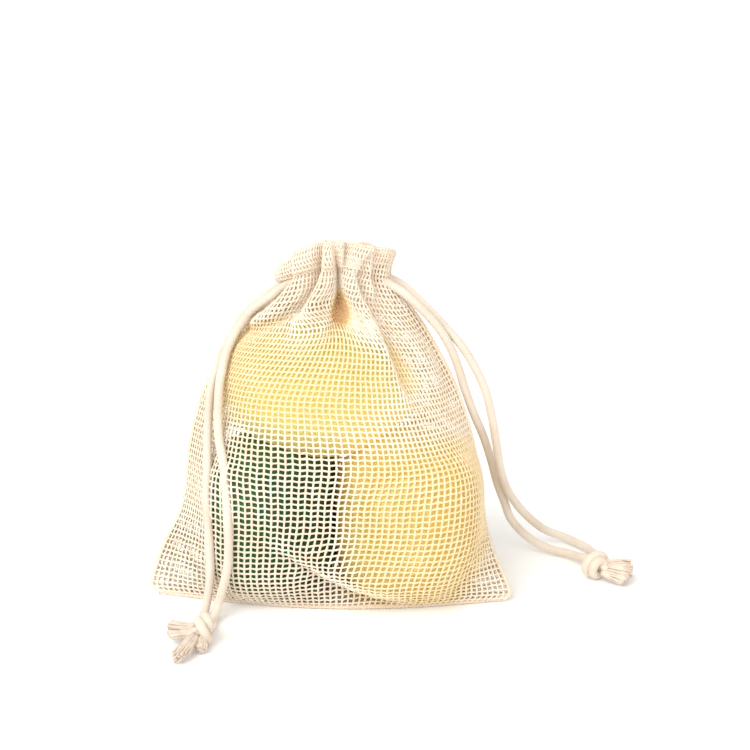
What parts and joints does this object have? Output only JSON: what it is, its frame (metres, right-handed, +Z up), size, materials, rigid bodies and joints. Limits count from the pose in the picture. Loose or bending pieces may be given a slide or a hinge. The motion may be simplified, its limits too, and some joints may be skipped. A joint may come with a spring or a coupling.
{
  "type": "mesh drawstring bag",
  "caption": "Cream cotton net drawstring bag standing full of citrus fruit, gathered shut at a pleated neck under a short frill, with knotted cotton cords trailing from its sides.",
  "frame": {"origin": "on the surface the bag stands on, under the middle of the filled bag, leaving its cords out", "axes": "+Z up, -Y towards the front panel, X along the bottom seam"},
  "size_m": [0.2221, 0.1435, 0.164],
  "materials": {
    "net": "undyed cotton netting, matt, over citrus fruit",
    "cord": "undyed braided cotton cord, matt"
  },
  "bodies": {
    "root": {"net_bag": "net", "cord_left_outer": "cord", "cord_left_inner": "cord", "cord_right_outer": "cord", "cord_right_inner": "cord", "knot_left": "cord", "knot_right": "cord"}
  },
  "joints": []
}
